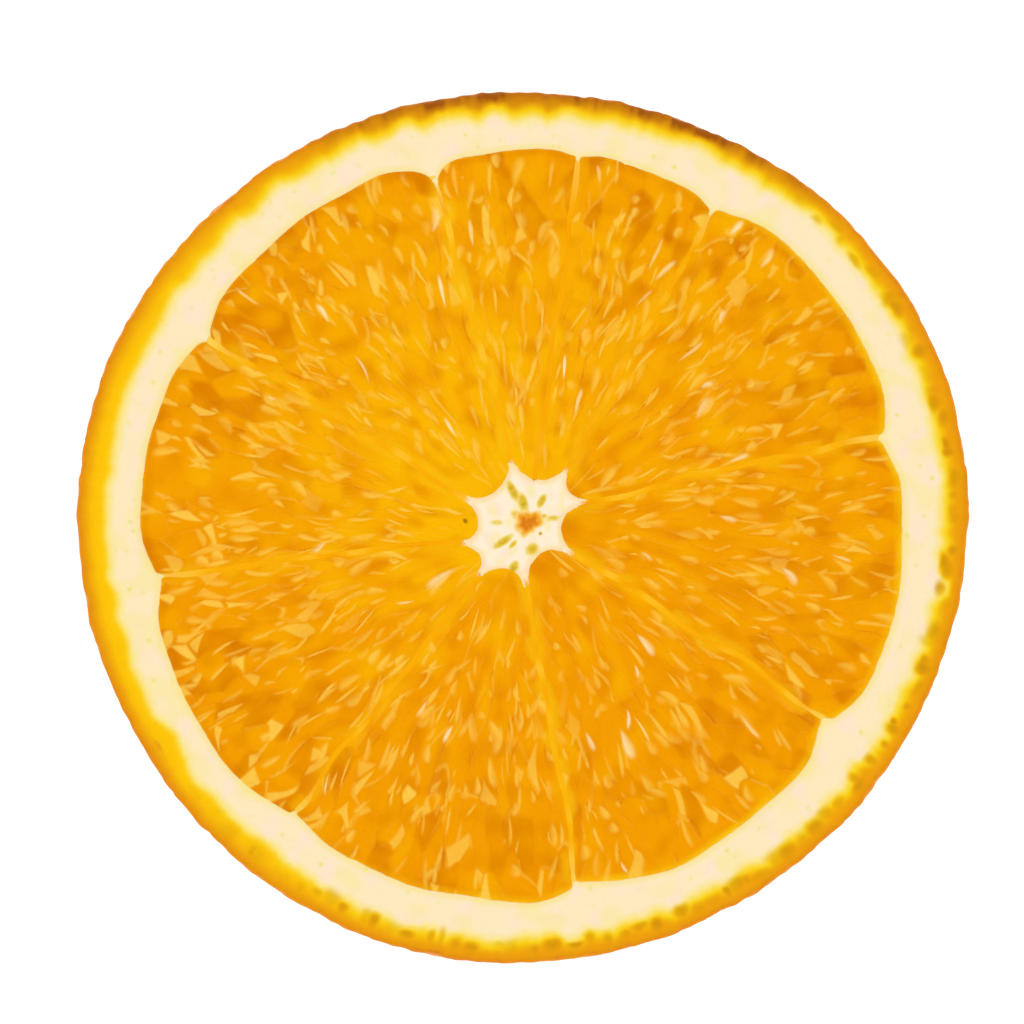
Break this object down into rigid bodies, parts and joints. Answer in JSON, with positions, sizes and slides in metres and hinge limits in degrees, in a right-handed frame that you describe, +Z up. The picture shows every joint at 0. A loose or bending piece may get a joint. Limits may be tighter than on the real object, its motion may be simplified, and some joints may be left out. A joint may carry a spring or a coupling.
{
  "type": "orange half",
  "caption": "Half of an orange, cut across its segments: a dimpled peel with white pith around wedge-shaped segments of pulp and a white star-shaped core, cut face up.",
  "frame": {"origin": "centre of the bounding box's bottom face, on the small flat spot that the half rests on", "axes": "+Z is up, square to the cut face; +Y points to the top of the cut face as it is usually shown and +X to its right"},
  "size_m": [0.0802, 0.0784, 0.0411],
  "materials": {
    "zest": "dimpled orange skin with a soft waxy shine",
    "pith": "soft cream-white, matt and slightly spongy",
    "pulp": "wet, translucent orange juice sacs with a glossy surface"
  },
  "bodies": {
    "root": {"peel": "zest", "core": "pith", "segment_1": "pulp", "segment_2": "pulp", "segment_3": "pulp", "segment_4": "pulp", "segment_5": "pulp", "segment_6": "pulp", "segment_7": "pulp", "segment_8": "pulp", "segment_9": "pulp"}
  },
  "joints": []
}
